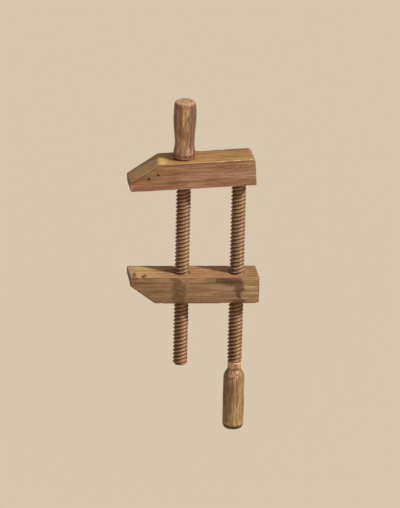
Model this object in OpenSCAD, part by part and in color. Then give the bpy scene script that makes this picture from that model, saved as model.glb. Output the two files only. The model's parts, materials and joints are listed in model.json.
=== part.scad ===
// Wooden sewing clamp: two jaws, drawn together by two wooden screws with turned handles.
// The middle screw hangs from the upper jaw and threads through the lower one.
// The end screw threads up through the lower jaw and its tip bears in a socket in the upper one.
// X runs from the tips to the tails, Y from front to back and Z up along the screws. The origin is
// where the middle screw's axis crosses the lower jaw's gripping face. Sizes are in millimetres.

/* [Jaws] */
// Height of each jaw, from its gripping face to its outer face
jaw_h = 35; // [28:0.5:50]
// Thickness of each jaw, from front to back
jaw_t = 38; // [30:0.5:60]
// Reach of the upper jaw's tip ahead of the middle screw
upper_reach = 70; // [50:0.5:120]
// Reach of the lower jaw's tip ahead of the middle screw
lower_reach = 67.5; // [50:0.5:120]
// Length of the upper jaw behind the end screw
upper_tail = 20; // [16:0.5:50]
// Length of the lower jaw behind the end screw
lower_tail = 27.5; // [16:0.5:50]
// Height of the upper jaw at its tip
upper_tip_h = 11; // [5:0.5:24]
// Height of the lower jaw at its tip
lower_tip_h = 9.5; // [5:0.5:24]
// Length of the sloped nose on the upper jaw
upper_slope = 39; // [15:0.5:48]
// Length of the sloped nose on the lower jaw
lower_slope = 34; // [15:0.5:48]
// Bevel across the top edge of the upper jaw's tail
tail_bevel = 3; // [0.5:0.5:8]
// Width of the eased edges along the jaws
arris = 0.8; // [0.2:0.1:2.5]

/* [Opening] */
// Gap between the jaws, measured on the middle screw's axis
jaw_gap = 118; // [20:0.5:150]
// Angle by which the end screw has levered the upper jaw's tail up
jaw_splay = 3.5; // [0:0.1:4]

/* [Screws] */
// Distance between the two screws' axes
screw_spacing = 68; // [45:0.5:140]
// Diameter of the screws over the crests of the thread
thread_d = 19; // [15:0.1:19.6]
// Depth of the thread, from crest to groove
thread_depth = 2.25; // [1.2:0.05:2.8]
// Distance from one crest to the next along the screw
thread_spacing = 5.08; // [4:0.01:7]
// Number of starts of the thread
thread_starts = 2; // [1:1:3]
// Length of the middle screw below the lower jaw
middle_free = 89.5; // [20:0.5:160]
// Length of thread on the end screw below the lower jaw
end_free = 86.5; // [20:0.5:160]
// How far the flat on each screw's free end lies in from the grooves
tip_inset = 0.75; // [0.3:0.05:3]
// Width of the flat shoulder round each tenon, in from the grooves
tenon_shoulder = 1.75; // [0.5:0.05:2.5]
// Length of the tenon that holds each screw in its handle
tenon_l = 32; // [15:0.5:45]

/* [Fits] */
// Diameter of the loose hole for the middle screw, and of the end screw's socket
loose_d = 22.4; // [22:0.1:26]
// Depth of the socket in the upper jaw
socket_depth = 13; // [6:0.5:18]
// Radial clearance of the thread in the lower jaw
thread_gap = 0.4; // [0.3:0.05:0.8]
// How much wider than the thread each mouth of a threaded hole is, on the radius
mouth_relief = 0.9; // [0.5:0.1:2]
// Clearance left where a screw or a handle bears on the upper jaw
seat_gap = 0.15; // [0.05:0.05:0.5]
// Clearance of a tenon in its handle, on the radius
tenon_gap = 0.05; // [0.02:0.01:0.3]

/* [Middle handle] */
// Length of the middle screw's handle
middle_grip_l = 73; // [60:0.5:120]
// Radius of the foot that bears on the upper jaw
foot_r = 13.2; // [12.6:0.1:15]
// Radius of the bead above the foot
bead_r = 13.7; // [12.8:0.1:16]
// Height of the bead above the upper jaw
bead_z = 4; // [2:0.5:8]
// Radius of the waist
waist_r = 12.3; // [10:0.1:14]
// Height of the waist above the upper jaw
waist_z = 18; // [12:0.5:26]
// Radius of the belly
belly_r = 14.35; // [12:0.05:18]
// Height of the belly above the upper jaw
belly_z = 50; // [35:0.5:56]
// Radius just under the rounded top edge
rim_r = 13.4; // [11:0.1:16]
// Size of the rounded top edge
rim_round = 2.3; // [0.5:0.1:4]

/* [End handle] */
// Length of the end screw's handle, with its neck
end_grip_l = 90; // [70:0.5:140]
// Radius of the neck
neck_r = 8.5; // [7.5:0.1:9]
// Length of the neck
neck_l = 10.5; // [4:0.5:20]
// Length of the shoulder between the neck and the grip
shoulder_l = 12; // [6:0.5:20]
// Radius of the grip at its middle
grip_r = 13.6; // [11:0.1:17]
// How much the grip narrows from its middle to each end
grip_fall = 0.3; // [0:0.05:1]
// Radius of the flat under the handle
butt_r = 8; // [4:0.1:10]
// Height of the rounded edge round that flat
butt_h = 4.8; // [2:0.1:8]

/* [Hidden] */
$fn = 96;
// Sides of the thread's helix
thread_sides = 24;
// Steps in each curve of a handle's outline
curve_steps = 12;
// Overshoot of the cutting shapes beyond the wood
over = 6;
// Points of the thread nearer to an end than this are laid on it
snap = 0.05;
// Overlap of each tenon with its screw
tenon_root = 1;
// Space in each handle beyond the end of the tenon
bore_spare = 1;

thread_r = thread_d / 2;
root_r = thread_r - thread_depth;
thread_lead = thread_spacing * thread_starts;
tip_r = root_r - tip_inset;
tenon_r = root_r - tenon_shoulder;
bore_r = tenon_r + tenon_gap;
bore_l = tenon_l + bore_spare;

// Middle of the upper jaw's loose hole, the point about which the jaw is splayed
splay_z = jaw_gap + jaw_h / 2 / cos(jaw_splay);
// Height of the middle handle's foot, which meets the splayed jaw at one side
foot_z = splay_z + jaw_h / 2 / cos(jaw_splay) + foot_r * tan(jaw_splay) + seat_gap;
// Height of the end screw's tip, which meets the splayed floor of the socket at one side
tip_z = splay_z + (screw_spacing - tip_r) * tan(jaw_splay)
    - (jaw_h / 2 - socket_depth) / cos(jaw_splay) - seat_gap;
// Place of the socket along the upper jaw, so that the end screw meets the middle of its depth
socket_x = (screw_spacing - (jaw_h - socket_depth) / 2 * sin(jaw_splay)) / cos(jaw_splay);
// Free end of the middle screw, and the end of the end screw's thread at its handle
middle_end_z = -jaw_h - middle_free;
end_neck_z = -jaw_h - end_free;

function limit(low, value, high) = value < low + snap ? low : value > high - snap ? high : value;

// A value that moves from a to b as t goes from 0 to 1 and is level at both ends
function ease(a, b, t) = a + (b - a) * (1 - cos(180 * t)) / 2;

// Share of the way along a curve at each of its steps
function steps() = [for (i = [1:curve_steps]) i / curve_steps];

// A point on the thread's surface, on column k and row q. Even rows are crests and odd rows are
// grooves. Each column starts a step higher up the helix, and rows past an end collapse onto its
// flat. The crests are turned down at 45 degrees towards the flats.
function thread_point(k, q, z0, z1, r0, r1, grow) =
    let (z = limit(z0, q * thread_spacing / 2 + thread_lead * k / thread_sides, z1))
    let (cut = q % 2 == 0 ? thread_r : root_r)
    let (r = min(cut + grow, r0 + z - z0, r1 + z1 - z))
    let (turn = 360 * k / thread_sides)
    [r * cos(turn), r * sin(turn), z];

// A right-hand thread of V-shaped grooves from z0 to z1, with flats of radius r0 and r1 on its
// ends. It is one closed surface that runs on round the axis, in step with the origin wherever it
// starts, so that a screw and its hole always mesh. grow widens it for cutting a hole.
module thread(z0, z1, r0, r1, grow = 0) {
    step = 2 * thread_starts;
    q0 = floor(2 * z0 / thread_spacing) - step;
    q1 = ceil(2 * z1 / thread_spacing);
    rows = q1 - q0 + 1;
    n = thread_sides;
    points = [for (k = [0:n - 1], q = [q0:q1]) thread_point(k, q, z0, z1, r0, r1, grow)];
    // Column n is column 0 again, one lead further along the rows
    function at(k, q) = k < n ? k * rows + q - q0 : min(q + step, q1) - q0;
    function whole(t) = points[t[0]] != points[t[1]] && points[t[1]] != points[t[2]]
        && points[t[2]] != points[t[0]];
    sides = [
        for (k = [0:n - 1], q = [q0:q1 - 1], half = [0, 1])
            let (t = half == 0
                ? [at(k, q), at(k, q + 1), at(k + 1, q + 1)]
                : [at(k, q), at(k + 1, q + 1), at(k + 1, q)])
            if (whole(t)) t
    ];
    bottom = [for (k = [0:n - 1]) at(k, q0)];
    top = [for (k = [n - 1:-1:0]) at(k, q1)];
    polyhedron(points, concat(sides, [bottom, top]), convexity = 10);
}

// A bar along X with eased long edges, from x0 to x1, with its lower face at z = 0
module eased_bar(x0, x1, height) {
    y = jaw_t / 2;
    section = [
        [-y + arris, 0], [y - arris, 0], [y, arris], [y, height - arris],
        [y - arris, height], [-y + arris, height], [-y, height - arris], [-y, arris]
    ];
    translate([x0, 0, 0]) rotate([90, 0, 90]) linear_extrude(x1 - x0) polygon(section);
}

// A jaw without its holes: its gripping face is at z = 0 and its outer face at jaw_h
module jaw_blank(reach, tail, tip_h, slope, bevel) {
    length = reach + screw_spacing + tail;
    back = length - reach;
    rise = jaw_h - tip_h;
    side = [
        [-reach, 0], [back, 0], [back, jaw_h - bevel], [back - bevel, jaw_h],
        [slope - reach, jaw_h], [-reach, tip_h]
    ];
    intersection() {
        translate([0, jaw_t / 2, 0]) rotate([90, 0, 0]) linear_extrude(jaw_t) polygon(side);
        eased_bar(-reach, back, jaw_h);
        // The same bar laid along the slope, so that the slope's edges are eased too
        translate([-reach, 0, tip_h]) rotate([0, -atan2(rise, slope), 0])
            translate([0, 0, -2 * length]) eased_bar(-length, 2 * length, 2 * length);
    }
}

// The mouth of a threaded hole, which narrows upwards from z = 0 at 45 degrees
module mouth() {
    wide = thread_r + thread_gap + mouth_relief;
    translate([0, 0, -over]) cylinder(h = over, r = wide);
    cylinder(h = wide - root_r, r1 = wide, r2 = root_r);
}

module lower_jaw() {
    color("#8F6240") difference() {
        mirror([0, 0, 1]) jaw_blank(lower_reach, lower_tail, lower_tip_h, lower_slope, arris);
        for (x = [0, screw_spacing]) translate([x, 0, 0]) {
            thread(-jaw_h - over, over, root_r, root_r, thread_gap);
            translate([0, 0, -jaw_h]) mouth();
            mirror([0, 0, 1]) mouth();
        }
    }
}

module upper_jaw() {
    color("#96694A") translate([0, 0, splay_z]) rotate([0, -jaw_splay, 0])
        translate([0, 0, -jaw_h / 2]) difference() {
            jaw_blank(upper_reach, upper_tail, upper_tip_h, upper_slope, tail_bevel);
            translate([0, 0, -over]) cylinder(h = jaw_h + 2 * over, d = loose_d);
            translate([socket_x, 0, -over]) cylinder(h = socket_depth + over, d = loose_d);
        }
}

module middle_screw() {
    color("#8A5F48") {
        thread(middle_end_z, foot_z, tip_r, root_r);
        translate([0, 0, foot_z - tenon_root]) cylinder(h = tenon_l + tenon_root, r = tenon_r);
    }
}

module end_screw() {
    color("#8A5F48") translate([screw_spacing, 0, 0]) {
        thread(end_neck_z, tip_z, root_r, tip_r);
        translate([0, 0, end_neck_z - tenon_l]) cylinder(h = tenon_l + tenon_root, r = tenon_r);
    }
}

// Outline of the middle handle from its foot at z = 0 to its flat top
function middle_outline() = concat(
    [[bore_r, 0], [foot_r, 0]],
    [for (t = steps()) [ease(foot_r, bead_r, t), bead_z * t]],
    [for (t = steps()) [ease(bead_r, waist_r, t), bead_z + (waist_z - bead_z) * t]],
    [for (t = steps()) [ease(waist_r, belly_r, t), waist_z + (belly_z - waist_z) * t]],
    let (rim_z = middle_grip_l - rim_round)
        [for (t = steps()) [rim_r + (belly_r - rim_r) * cos(90 * t), belly_z + (rim_z - belly_z) * t]],
    [for (t = steps())
        [rim_r - rim_round * (1 - cos(90 * t)), middle_grip_l - rim_round * (1 - sin(90 * t))]],
    [[0, middle_grip_l], [0, bore_l], [bore_r, bore_l]]
);

module middle_handle() {
    color("#8C6A4A") translate([0, 0, foot_z]) rotate_extrude() polygon(middle_outline());
}

// Outline of the end handle, hanging from its neck at z = 0
function end_outline() =
    let (end_r = grip_r - grip_fall)
    let (grip_l = end_grip_l - neck_l - shoulder_l - butt_h)
    concat(
        [[bore_r, 0], [neck_r, 0], [neck_r, -neck_l]],
        [for (t = steps()) [neck_r + (end_r - neck_r) * sin(90 * t), -neck_l - shoulder_l * t]],
        [for (t = steps())
            [end_r + grip_fall * sin(180 * t), -neck_l - shoulder_l - grip_l * t]],
        [for (t = steps())
            [end_r - (end_r - butt_r) * (1 - cos(90 * t)), butt_h * (1 - sin(90 * t)) - end_grip_l]],
        [[0, -end_grip_l], [0, -bore_l], [bore_r, -bore_l]]
    );

module end_handle() {
    color("#9A7448") translate([screw_spacing, 0, end_neck_z]) rotate_extrude()
        polygon(end_outline());
}

lower_jaw();
upper_jaw();
middle_screw();
middle_handle();
end_screw();
end_handle();
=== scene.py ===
"""Looks of the wooden sewing clamp: carved jaws, threaded screws, turned handles, light and camera.

Every piece replaces a CAD node and takes its sizes from that node's own points. Lengths are in
millimetres until a mesh is finished, and in metres from then on.
"""

import itertools
import json
import math

import bmesh
import bpy
import numpy as np
from mathutils import Matrix, Vector

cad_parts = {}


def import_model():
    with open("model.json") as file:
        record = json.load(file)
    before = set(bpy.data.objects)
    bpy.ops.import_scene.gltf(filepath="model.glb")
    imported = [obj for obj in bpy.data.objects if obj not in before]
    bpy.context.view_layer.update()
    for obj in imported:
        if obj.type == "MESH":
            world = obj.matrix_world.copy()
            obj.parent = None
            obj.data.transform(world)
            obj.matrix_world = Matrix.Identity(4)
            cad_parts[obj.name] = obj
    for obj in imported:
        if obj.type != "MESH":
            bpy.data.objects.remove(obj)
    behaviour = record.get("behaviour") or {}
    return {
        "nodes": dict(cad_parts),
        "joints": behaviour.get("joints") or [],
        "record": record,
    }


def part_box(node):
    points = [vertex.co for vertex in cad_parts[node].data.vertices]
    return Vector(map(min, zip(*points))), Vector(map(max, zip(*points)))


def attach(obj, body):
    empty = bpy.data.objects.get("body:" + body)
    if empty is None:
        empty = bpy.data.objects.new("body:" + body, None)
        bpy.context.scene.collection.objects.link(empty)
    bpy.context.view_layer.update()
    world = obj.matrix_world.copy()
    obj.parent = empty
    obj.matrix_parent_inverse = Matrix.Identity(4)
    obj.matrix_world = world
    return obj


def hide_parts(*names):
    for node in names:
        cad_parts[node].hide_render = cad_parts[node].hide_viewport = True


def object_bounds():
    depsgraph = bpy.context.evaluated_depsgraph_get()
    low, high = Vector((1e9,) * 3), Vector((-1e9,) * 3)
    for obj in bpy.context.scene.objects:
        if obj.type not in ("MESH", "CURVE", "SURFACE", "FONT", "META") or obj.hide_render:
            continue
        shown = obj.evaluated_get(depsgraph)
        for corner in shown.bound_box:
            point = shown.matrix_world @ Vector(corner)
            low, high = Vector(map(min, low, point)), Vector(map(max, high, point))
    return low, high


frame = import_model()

cad_low, cad_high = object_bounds()
scene = bpy.context.scene
MM = 0.001
# The lamps are warm, so the wood's colours are cooled a little
BALANCE = np.array([1.0, 1.04, 1.12])
# Points this near to each other are one point, and points this near to a plane lie in it
MERGE = 0.002
LEVEL = 0.01
# The distance to the nearest edge, where there is none near
FAR = 9.0


def named(items, name, key="name"):
    return next(item for item in items if item[key] == name)


def new_object(name, data):
    made = bpy.data.objects.new(name, data)
    scene.collection.objects.link(made)
    return made


# Colours

def rgb(code):
    """The linear colour of an sRGB code such as B3845A."""
    value = np.array([int(code[i:i + 2], 16) for i in (0, 2, 4)]) / 255
    return np.where(value <= 0.04045, value / 12.92, ((value + 0.055) / 1.055) ** 2.4)


def rgba(code):
    return (*rgb(code), 1.0)


def coloured(base, washes):
    """A colour for each point: a base colour that is washed with others, one by one.

    Each wash is a colour and, for each point, how far it takes the colour there, from 0 to 1.
    """
    tint = rgb(base)
    for code, amount in washes:
        tint = tint + (rgb(code) - tint) * np.clip(amount, 0, 1)[:, None]
    return tint


# Smooth noise and masks, as formulas of a point's place

def lattice(cells, seed):
    """A repeatable number from -1 to 1 for each whole-numbered cell."""
    c = cells.astype(np.int64)
    mixed = c[:, 0] * 73856093 ^ c[:, 1] * 19349663 ^ c[:, 2] * 83492791 ^ seed * 6542989
    mixed = (mixed ^ mixed >> 13) & 0xFFFFFFFF
    mixed = (mixed * 1274126177) & 0xFFFFFFFF
    mixed = mixed ^ mixed >> 16
    return (mixed & 0xFFFF) / 32767.5 - 1


def noise(points, size, seed):
    """Smooth noise from -1 to 1 at each point, with blobs of about the given size."""
    scaled = points / np.array(size)
    cell = np.floor(scaled)
    t = scaled - cell
    t = t * t * (3 - 2 * t)
    total = np.zeros(len(points))
    for corner in itertools.product((0, 1), repeat=3):
        weight = np.prod(np.where(np.array(corner) == 1, t, 1 - t), axis=1)
        total += weight * lattice(cell + np.array(corner), seed)
    return total


def ramp(value, low, high):
    """0 at low, 1 at high, eased between them and even beyond. low may be the larger one."""
    t = np.clip((value - low) / (high - low), 0, 1)
    return t * t * (3 - 2 * t)


def spot(points, centre, size):
    """1 round a place, and falling to 0 at about the given size from it."""
    away = np.linalg.norm((points - np.array(centre)) / np.array(size), axis=1)
    return 1 - ramp(away, 0.45, 1.0)


def hump(value, middle, width):
    """1 where a value is at the middle, and falling off smoothly on both sides."""
    return np.exp(-((value - middle) / width) ** 2)


# Meshes

def get_points(mesh):
    flat = np.zeros(len(mesh.vertices) * 3)
    mesh.vertices.foreach_get("co", flat)
    return flat.reshape(-1, 3)


def node_points(name):
    """The points of a CAD node, in millimetres."""
    return get_points(frame["nodes"][name].data) / MM


def set_points(mesh, points):
    mesh.vertices.foreach_set("co", points.ravel())
    mesh.update()


def joined_mesh(name, points, faces):
    """A mesh of quads, with the points that lie together merged and the flat quads gone."""
    mesh = bpy.data.meshes.new(name)
    mesh.from_pydata(points.tolist(), [], faces.tolist())
    merge_points(mesh)
    return mesh


def merge_points(mesh):
    work = bmesh.new()
    work.from_mesh(mesh)
    bmesh.ops.remove_doubles(work, verts=work.verts, dist=MERGE)
    bmesh.ops.recalc_face_normals(work, faces=work.faces)
    work.to_mesh(mesh)
    work.free()


def add_layer(mesh, name, kind, field, values):
    layer = mesh.attributes.new(name, kind, "POINT")
    layer.data.foreach_set(field, np.ascontiguousarray(values, np.float32).ravel())


def finish_piece(node, body, mesh, points, look, wood, tint, edge, dirt_and_shade):
    """Places a mesh, gives it its layers and material, and ties it to its body and its CAD node.

    wood is each point's place in the wood, with the grain along X, and tint the wood's colour there.
    edge is the distance to the nearest edge, and dirt_and_shade, grime and painted shade, goes from 0 to 1.
    """
    name = node + "_wood"
    set_points(mesh, points * MM)
    add_layer(mesh, "wood", "FLOAT_VECTOR", "vector", wood)
    colours = np.hstack([np.clip(tint * BALANCE, 0, 1), np.ones((len(points), 1))])
    add_layer(mesh, "tint", "FLOAT_COLOR", "color", colours)
    add_layer(mesh, "edge", "FLOAT", "value", edge)
    add_layer(mesh, "dirt_and_shade", "FLOAT", "value", np.clip(dirt_and_shade, 0, 1))
    mesh.polygons.foreach_set("use_smooth", np.ones(len(mesh.polygons), bool))
    mesh.materials.clear()
    mesh.materials.append(wood_material(name, look))
    mesh.update()
    piece = new_object(name, mesh)
    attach(piece, body)
    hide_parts(node)


# Wood material

def add(tree, kind, inputs=None, **settings):
    """A shader node. Its inputs are numbers, colours or the outputs of other nodes."""
    made = tree.nodes.new(kind)
    for name, value in settings.items():
        setattr(made, name, value)
    for key, value in (inputs or {}).items():
        if isinstance(value, bpy.types.NodeSocket):
            tree.links.new(value, made.inputs[key])
        else:
            made.inputs[key].default_value = value
    return made


def layer_value(tree, name, output):
    return add(tree, "ShaderNodeAttribute", attribute_name=name).outputs[output]


def grain(tree, place, size, detail, offset):
    """Noise drawn out along the grain. Size is its length and thickness, in millimetres."""
    length, thick = size
    scaled = add(
        tree, "ShaderNodeVectorMath",
        {0: place, 1: (1 / length, 1 / thick, 1 / thick), 2: (offset, offset * 1.7, -offset)},
        operation="MULTIPLY_ADD",
    )
    made = add(
        tree, "ShaderNodeTexNoise",
        {"Vector": scaled.outputs[0], "Scale": 1.0, "Detail": detail, "Roughness": 0.6},
    )
    return made.outputs[0]


def span(tree, value, low, high, to_low=0.0, to_high=1.0):
    """A value eased from one range to another."""
    made = add(
        tree, "ShaderNodeMapRange",
        {"Value": value, "From Min": low, "From Max": high, "To Min": to_low, "To Max": to_high},
        interpolation_type="SMOOTHSTEP",
    )
    return made.outputs[0]


def maths(tree, operation, a, b):
    return add(tree, "ShaderNodeMath", {0: a, 1: b}, operation=operation).outputs[0]


def times(tree, a, b):
    return maths(tree, "MULTIPLY", a, b)


def plus(tree, a, b):
    return maths(tree, "ADD", a, b)


def blend(tree, factor, a, b, kind="MIX"):
    made = add(tree, "ShaderNodeMix", {0: factor, 6: a, 7: b}, data_type="RGBA", blend_type=kind)
    return made.outputs[2]


def shaded(tree, factor, base, multiplier):
    """Base colour times a multiplier, to the extent of the factor."""
    return blend(tree, factor, base, (*multiplier, 1.0), "MULTIPLY")


# Detail of each kind of grain, and a shift that sets it apart from the others
GRAIN = {
    "fibre": (5.0, 3.1), "streak": (3.0, 11.7), "band": (2.0, 23.9), "fleck": (3.0, 31.3),
    "pore": (2.0, 47.1), "dash": (2.0, 61.7), "gleam": (2.0, 73.3), "mottle": (3.0, 5.5),
}
# Growth rings change slowly along the grain
RING_STRETCH = (0.06, 1.0, 1.0)
RING_NOISE = {"Distortion": 3.0, "Detail": 2.0, "Detail Scale": 0.6}
# What darkens or lightens the wood: where it starts, where it is full, and its multiplier
SHADES = (
    ("band", 0.46, 0.62, (0.74, 0.62, 0.56)), ("ring", 0.55, 0.95, (0.66, 0.54, 0.45)),
    ("dash", 0.55, 0.66, (0.52, 0.41, 0.34)), ("gleam", 0.56, 0.68, (1.36, 1.34, 1.26)),
)
FLECK_SPAN = 0.07
FLECK_SHADE = (0.42, 0.32, 0.27)
PORE_AT = (0.60, 0.68)
PORE_DEPTH = 0.45
PORE_SHADE = (0.50, 0.42, 0.36)


def wood_material(name, look):
    """Old wood: long fibres, broad streaks, growth rings, flecks and pores, pale edges, and grime with
    painted shade.
    """
    material = bpy.data.materials.new(name)
    material.use_nodes = True
    tree = material.node_tree
    tree.nodes.clear()
    place = layer_value(tree, "wood", "Vector")
    tint = layer_value(tree, "tint", "Color")
    edge = layer_value(tree, "edge", "Fac")
    # This layer holds grime together with painted shade
    dirt_and_shade = layer_value(tree, "dirt_and_shade", "Fac")
    masks = {kind: grain(tree, place, look[kind], *settings) for kind, settings in GRAIN.items()}
    fibre, streak, mottle = masks["fibre"], masks["streak"], masks["mottle"]

    # Growth rings round a pith that lies outside the piece
    ring_place = add(
        tree, "ShaderNodeVectorMath",
        {0: place, 1: RING_STRETCH, 2: (0.0, *look["pith"])},
        operation="MULTIPLY_ADD",
    )
    rings = add(
        tree, "ShaderNodeTexWave",
        {"Vector": ring_place.outputs[0], "Scale": look["ring_scale"], **RING_NOISE},
        wave_type="RINGS", rings_direction="X",
    )
    masks["ring"] = rings.outputs["Fac"]

    # Light and dark fibres, then broad bands, rings and short strokes over them
    tone = span(tree, plus(tree, times(tree, fibre, 0.4), times(tree, streak, 0.6)), 0.41, 0.59)
    light = shaded(tree, 1.0, tint, look["light"])
    dark = shaded(tree, 1.0, tint, look["dark"])
    colour = blend(tree, tone, dark, light)
    for kind, start, full, multiplier in SHADES:
        amount = span(tree, masks[kind], start, full, 0.0, look[kind + "_depth"])
        colour = shaded(tree, amount, colour, multiplier)
    flecks = span(tree, masks["fleck"], look["fleck_at"], look["fleck_at"] + FLECK_SPAN)
    colour = shaded(tree, times(tree, flecks, look["fleck_depth"]), colour, FLECK_SHADE)
    pores = span(tree, masks["pore"], *PORE_AT)
    colour = shaded(tree, times(tree, pores, PORE_DEPTH), colour, PORE_SHADE)

    # Edges rubbed pale, in broken lines
    near = span(tree, edge, 0.25, look["edge_width"], 1.0, 0.0)
    rubbed = times(tree, near, span(tree, mottle, 0.36, 0.56, 0.25, 1.0))
    colour = blend(tree, times(tree, rubbed, look["edge_depth"]), colour, rgba(look["edge"]))

    # Grime and painted shade are laid on unevenly
    dark_amount = times(tree, dirt_and_shade, span(tree, plus(tree, mottle, streak), 0.75, 1.15, 0.65, 1.0))
    colour = blend(tree, dark_amount, colour, rgba(look["dirt_and_shade"]))

    # Fibres stand a little proud, and pores and flecks are sunk
    height = maths(tree, "SUBTRACT", times(tree, fibre, 0.8), times(tree, pores, 0.35))
    height = maths(tree, "SUBTRACT", height, times(tree, flecks, 0.3))
    relief = add(
        tree, "ShaderNodeBump", {"Height": height, "Distance": look["relief"] * MM, "Strength": 0.8}
    )
    rough = span(tree, plus(tree, mottle, fibre), 0.8, 1.2, *look["roughness"])
    shader = add(
        tree, "ShaderNodeBsdfPrincipled",
        {
            "Base Color": colour, "Roughness": rough, "Normal": relief.outputs[0],
            "Specular IOR Level": look["specular"], "Specular Tint": rgba(look["gloss"]),
        },
    )
    add(tree, "ShaderNodeOutputMaterial", {"Surface": shader.outputs[0]})
    return material


# Looks. Each kind of grain is given as its length and thickness, and the pith as its place
JAW_LOOK = {
    "fibre": (18.0, 0.6), "streak": (40.0, 1.7), "band": (110.0, 8.0),
    "fleck": (9.0, 0.8), "fleck_at": 0.60, "fleck_depth": 0.6, "pore": (4.0, 0.3),
    "pith": (31.0, -58.0), "ring_scale": 0.06, "ring_depth": 0.35, "band_depth": 0.5,
    "dash": (10.0, 1.05), "dash_depth": 0.55, "gleam": (12.0, 1.2), "gleam_depth": 0.6,
    "mottle": (3.0, 3.0), "light": (1.15, 1.13, 1.10), "dark": (0.72, 0.64, 0.58),
    "edge": "D6B070", "edge_width": 1.5, "edge_depth": 0.75, "dirt_and_shade": "33200F",
    "roughness": (0.46, 0.64), "specular": 0.22, "gloss": "FFFFFF", "relief": 0.16,
}
UPPER_LOOK = {**JAW_LOOK, "edge": "D8AC7C"}
LOWER_LOOK = {
    **JAW_LOOK, "pith": (-44.0, 49.0), "edge_depth": 0.55, "edge": "D0A878", "dash_depth": 0.42,
}
SCREW_LOOK = {
    **JAW_LOOK,
    "fibre": (9.0, 0.5), "streak": (26.0, 1.8), "band": (60.0, 6.0), "fleck": (3.5, 0.6),
    "fleck_depth": 0.5, "pith": (6.0, 9.0), "ring_scale": 0.1, "ring_depth": 0.25,
    "dash": (7.0, 0.9), "dash_depth": 0.5, "gleam": (8.0, 1.0), "gleam_depth": 0.5,
    "edge_depth": 0.5, "edge_width": 1.0, "edge": "DDB38C", "dirt_and_shade": "30160A",
    "roughness": (0.38, 0.54), "specular": 0.32, "gloss": "FFDCAE", "relief": 0.10,
}
HANDLE_LOOK = {
    **JAW_LOOK,
    "fibre": (10.0, 0.6), "streak": (20.0, 1.9), "band": (50.0, 6.0),
    "fleck": (5.0, 0.75), "fleck_at": 0.58, "fleck_depth": 0.75,
    "dash": (7.0, 1.0), "dash_depth": 0.8, "gleam": (9.0, 1.2), "gleam_depth": 0.6,
    "light": (1.2, 1.18, 1.12), "dark": (0.60, 0.52, 0.46),
    "pith": (4.0, 5.0), "ring_scale": 0.12, "ring_depth": 0.45, "band_depth": 0.7,
    "edge_depth": 0.45, "edge_width": 1.6, "edge": "D8B27C",
    "roughness": (0.36, 0.52), "specular": 0.3, "relief": 0.12,
}
END_LOOK = {
    **HANDLE_LOOK, "edge": "E0BE8C", "fleck_depth": 0.6, "pith": (-5.0, 3.0), "dirt_and_shade": "4A2C14",
}


# Jaws

# Size of a jaw's even grid of points, and how far round a nail hole it is finer
VOXEL = 0.62
PIT_REACH = 2.4
SMOOTH_ROUNDS = 2
WEAR_ROUNDS = 5
# Radius of the worn edges, and depths of the chips along them and of the waves on the faces
EDGE_RADIUS = 0.34
CHIP_DEPTH = 0.9
CHIP_REACH = 1.6
WAVE_DEPTHS = (0.06, 0.035)
# The jaws' ends aren't quite square: both were sawn together, a little askew
SKEW = 3.2
SKEW_REACH = 30.0
FACES = ("grip", "outer", "low_y", "high_y", "tip", "tail", "slope", "bevel")


def jaw_frame(mount_name):
    """A jaw's own axes and origin: X along its gripping face and Z from that face into the wood."""
    mount = named(frame["record"]["mounts"], mount_name)
    inward = -np.array(mount["axis"], float)
    along = np.array([1.0, 0.0, 0.0]) - inward[0] * inward
    along /= np.linalg.norm(along)
    return np.array([along, np.cross(inward, along), inward]), np.array(mount["pos_m"]) / MM


def jaw_faces(points, front):
    """Outward normals and distances of a jaw's faces, in the order of FACES.

    front is 1 or -1, for the side of the jaw's Y axis that looks to the front.
    """
    x, y, z = points.T
    length, half, height = x.max(), y.max(), z.max()
    flat = x[z > height - LEVEL]
    tip_height = z[x < LEVEL].max()
    slope = np.array([tip_height - height, 0, flat.min()])
    slope /= np.linalg.norm(slope)
    tail = np.array([2 * half, -front * SKEW, 0])
    tail /= np.linalg.norm(tail)
    bevel = (tail + np.array([0, 0, 1])) / math.sqrt(2)
    normals = np.array([[0, 0, -1], [0, 0, 1], [0, -1, 0], [0, 1, 0], -tail, tail, slope, bevel])
    on_face = np.array([
        [0, 0, 0], [0, 0, height], [0, -half, 0], [0, half, 0], [0, -front * half, 0],
        [length, front * half, 0], [0, 0, tip_height], [flat.max(), front * half, height],
    ])
    return normals, (normals * on_face).sum(axis=1)


def jaw_holes(points):
    """Each hole of a jaw as its place along the jaw, its mouth's radius and its depth."""
    x, y, z = points.T
    mouths = x[(z < LEVEL) & (np.abs(y) < y.max() - 5) & (x > 5) & (x < x.max() - 3)]
    middle = (mouths.min() + mouths.max()) / 2
    holes = []
    for part in (mouths[mouths < middle], mouths[mouths > middle]):
        centre, radius = (part.min() + part.max()) / 2, (part.max() - part.min()) / 2
        inside = np.hypot(x - centre, y) < radius + 0.1
        holes.append((centre, radius, z[inside].max()))
    return holes


def rounded_block(points, faces, radius):
    """How far points stand out of a block with rounded edges, and each face's share in that.

    Then come their distances to the nearest edge, and how far they lie below each face.
    """
    normals, distances = faces
    out = points @ normals.T - distances
    most = out.max(axis=1, keepdims=True)
    share = np.exp((out - most) / radius[:, None])
    total = share.sum(axis=1)
    value = most[:, 0] + radius * np.log(total)
    return value, share / total[:, None], -np.partition(out, -2, axis=1)[:, -2], -out


def smoothed(points, mesh):
    """Points moved half-way to the middle of their neighbours, a number of times."""
    ends = np.zeros(len(mesh.edges) * 2, np.int64)
    mesh.edges.foreach_get("vertices", ends)
    a, b = ends.reshape(-1, 2).T
    count = np.bincount(a, minlength=len(points)) + np.bincount(b, minlength=len(points))
    for _ in range(SMOOTH_ROUNDS):
        total = np.zeros_like(points)
        for axis in range(3):
            total[:, axis] += np.bincount(a, points[b, axis], len(points))
            total[:, axis] += np.bincount(b, points[a, axis], len(points))
        points = (points + total / count[:, None]) / 2
    return points


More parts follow.
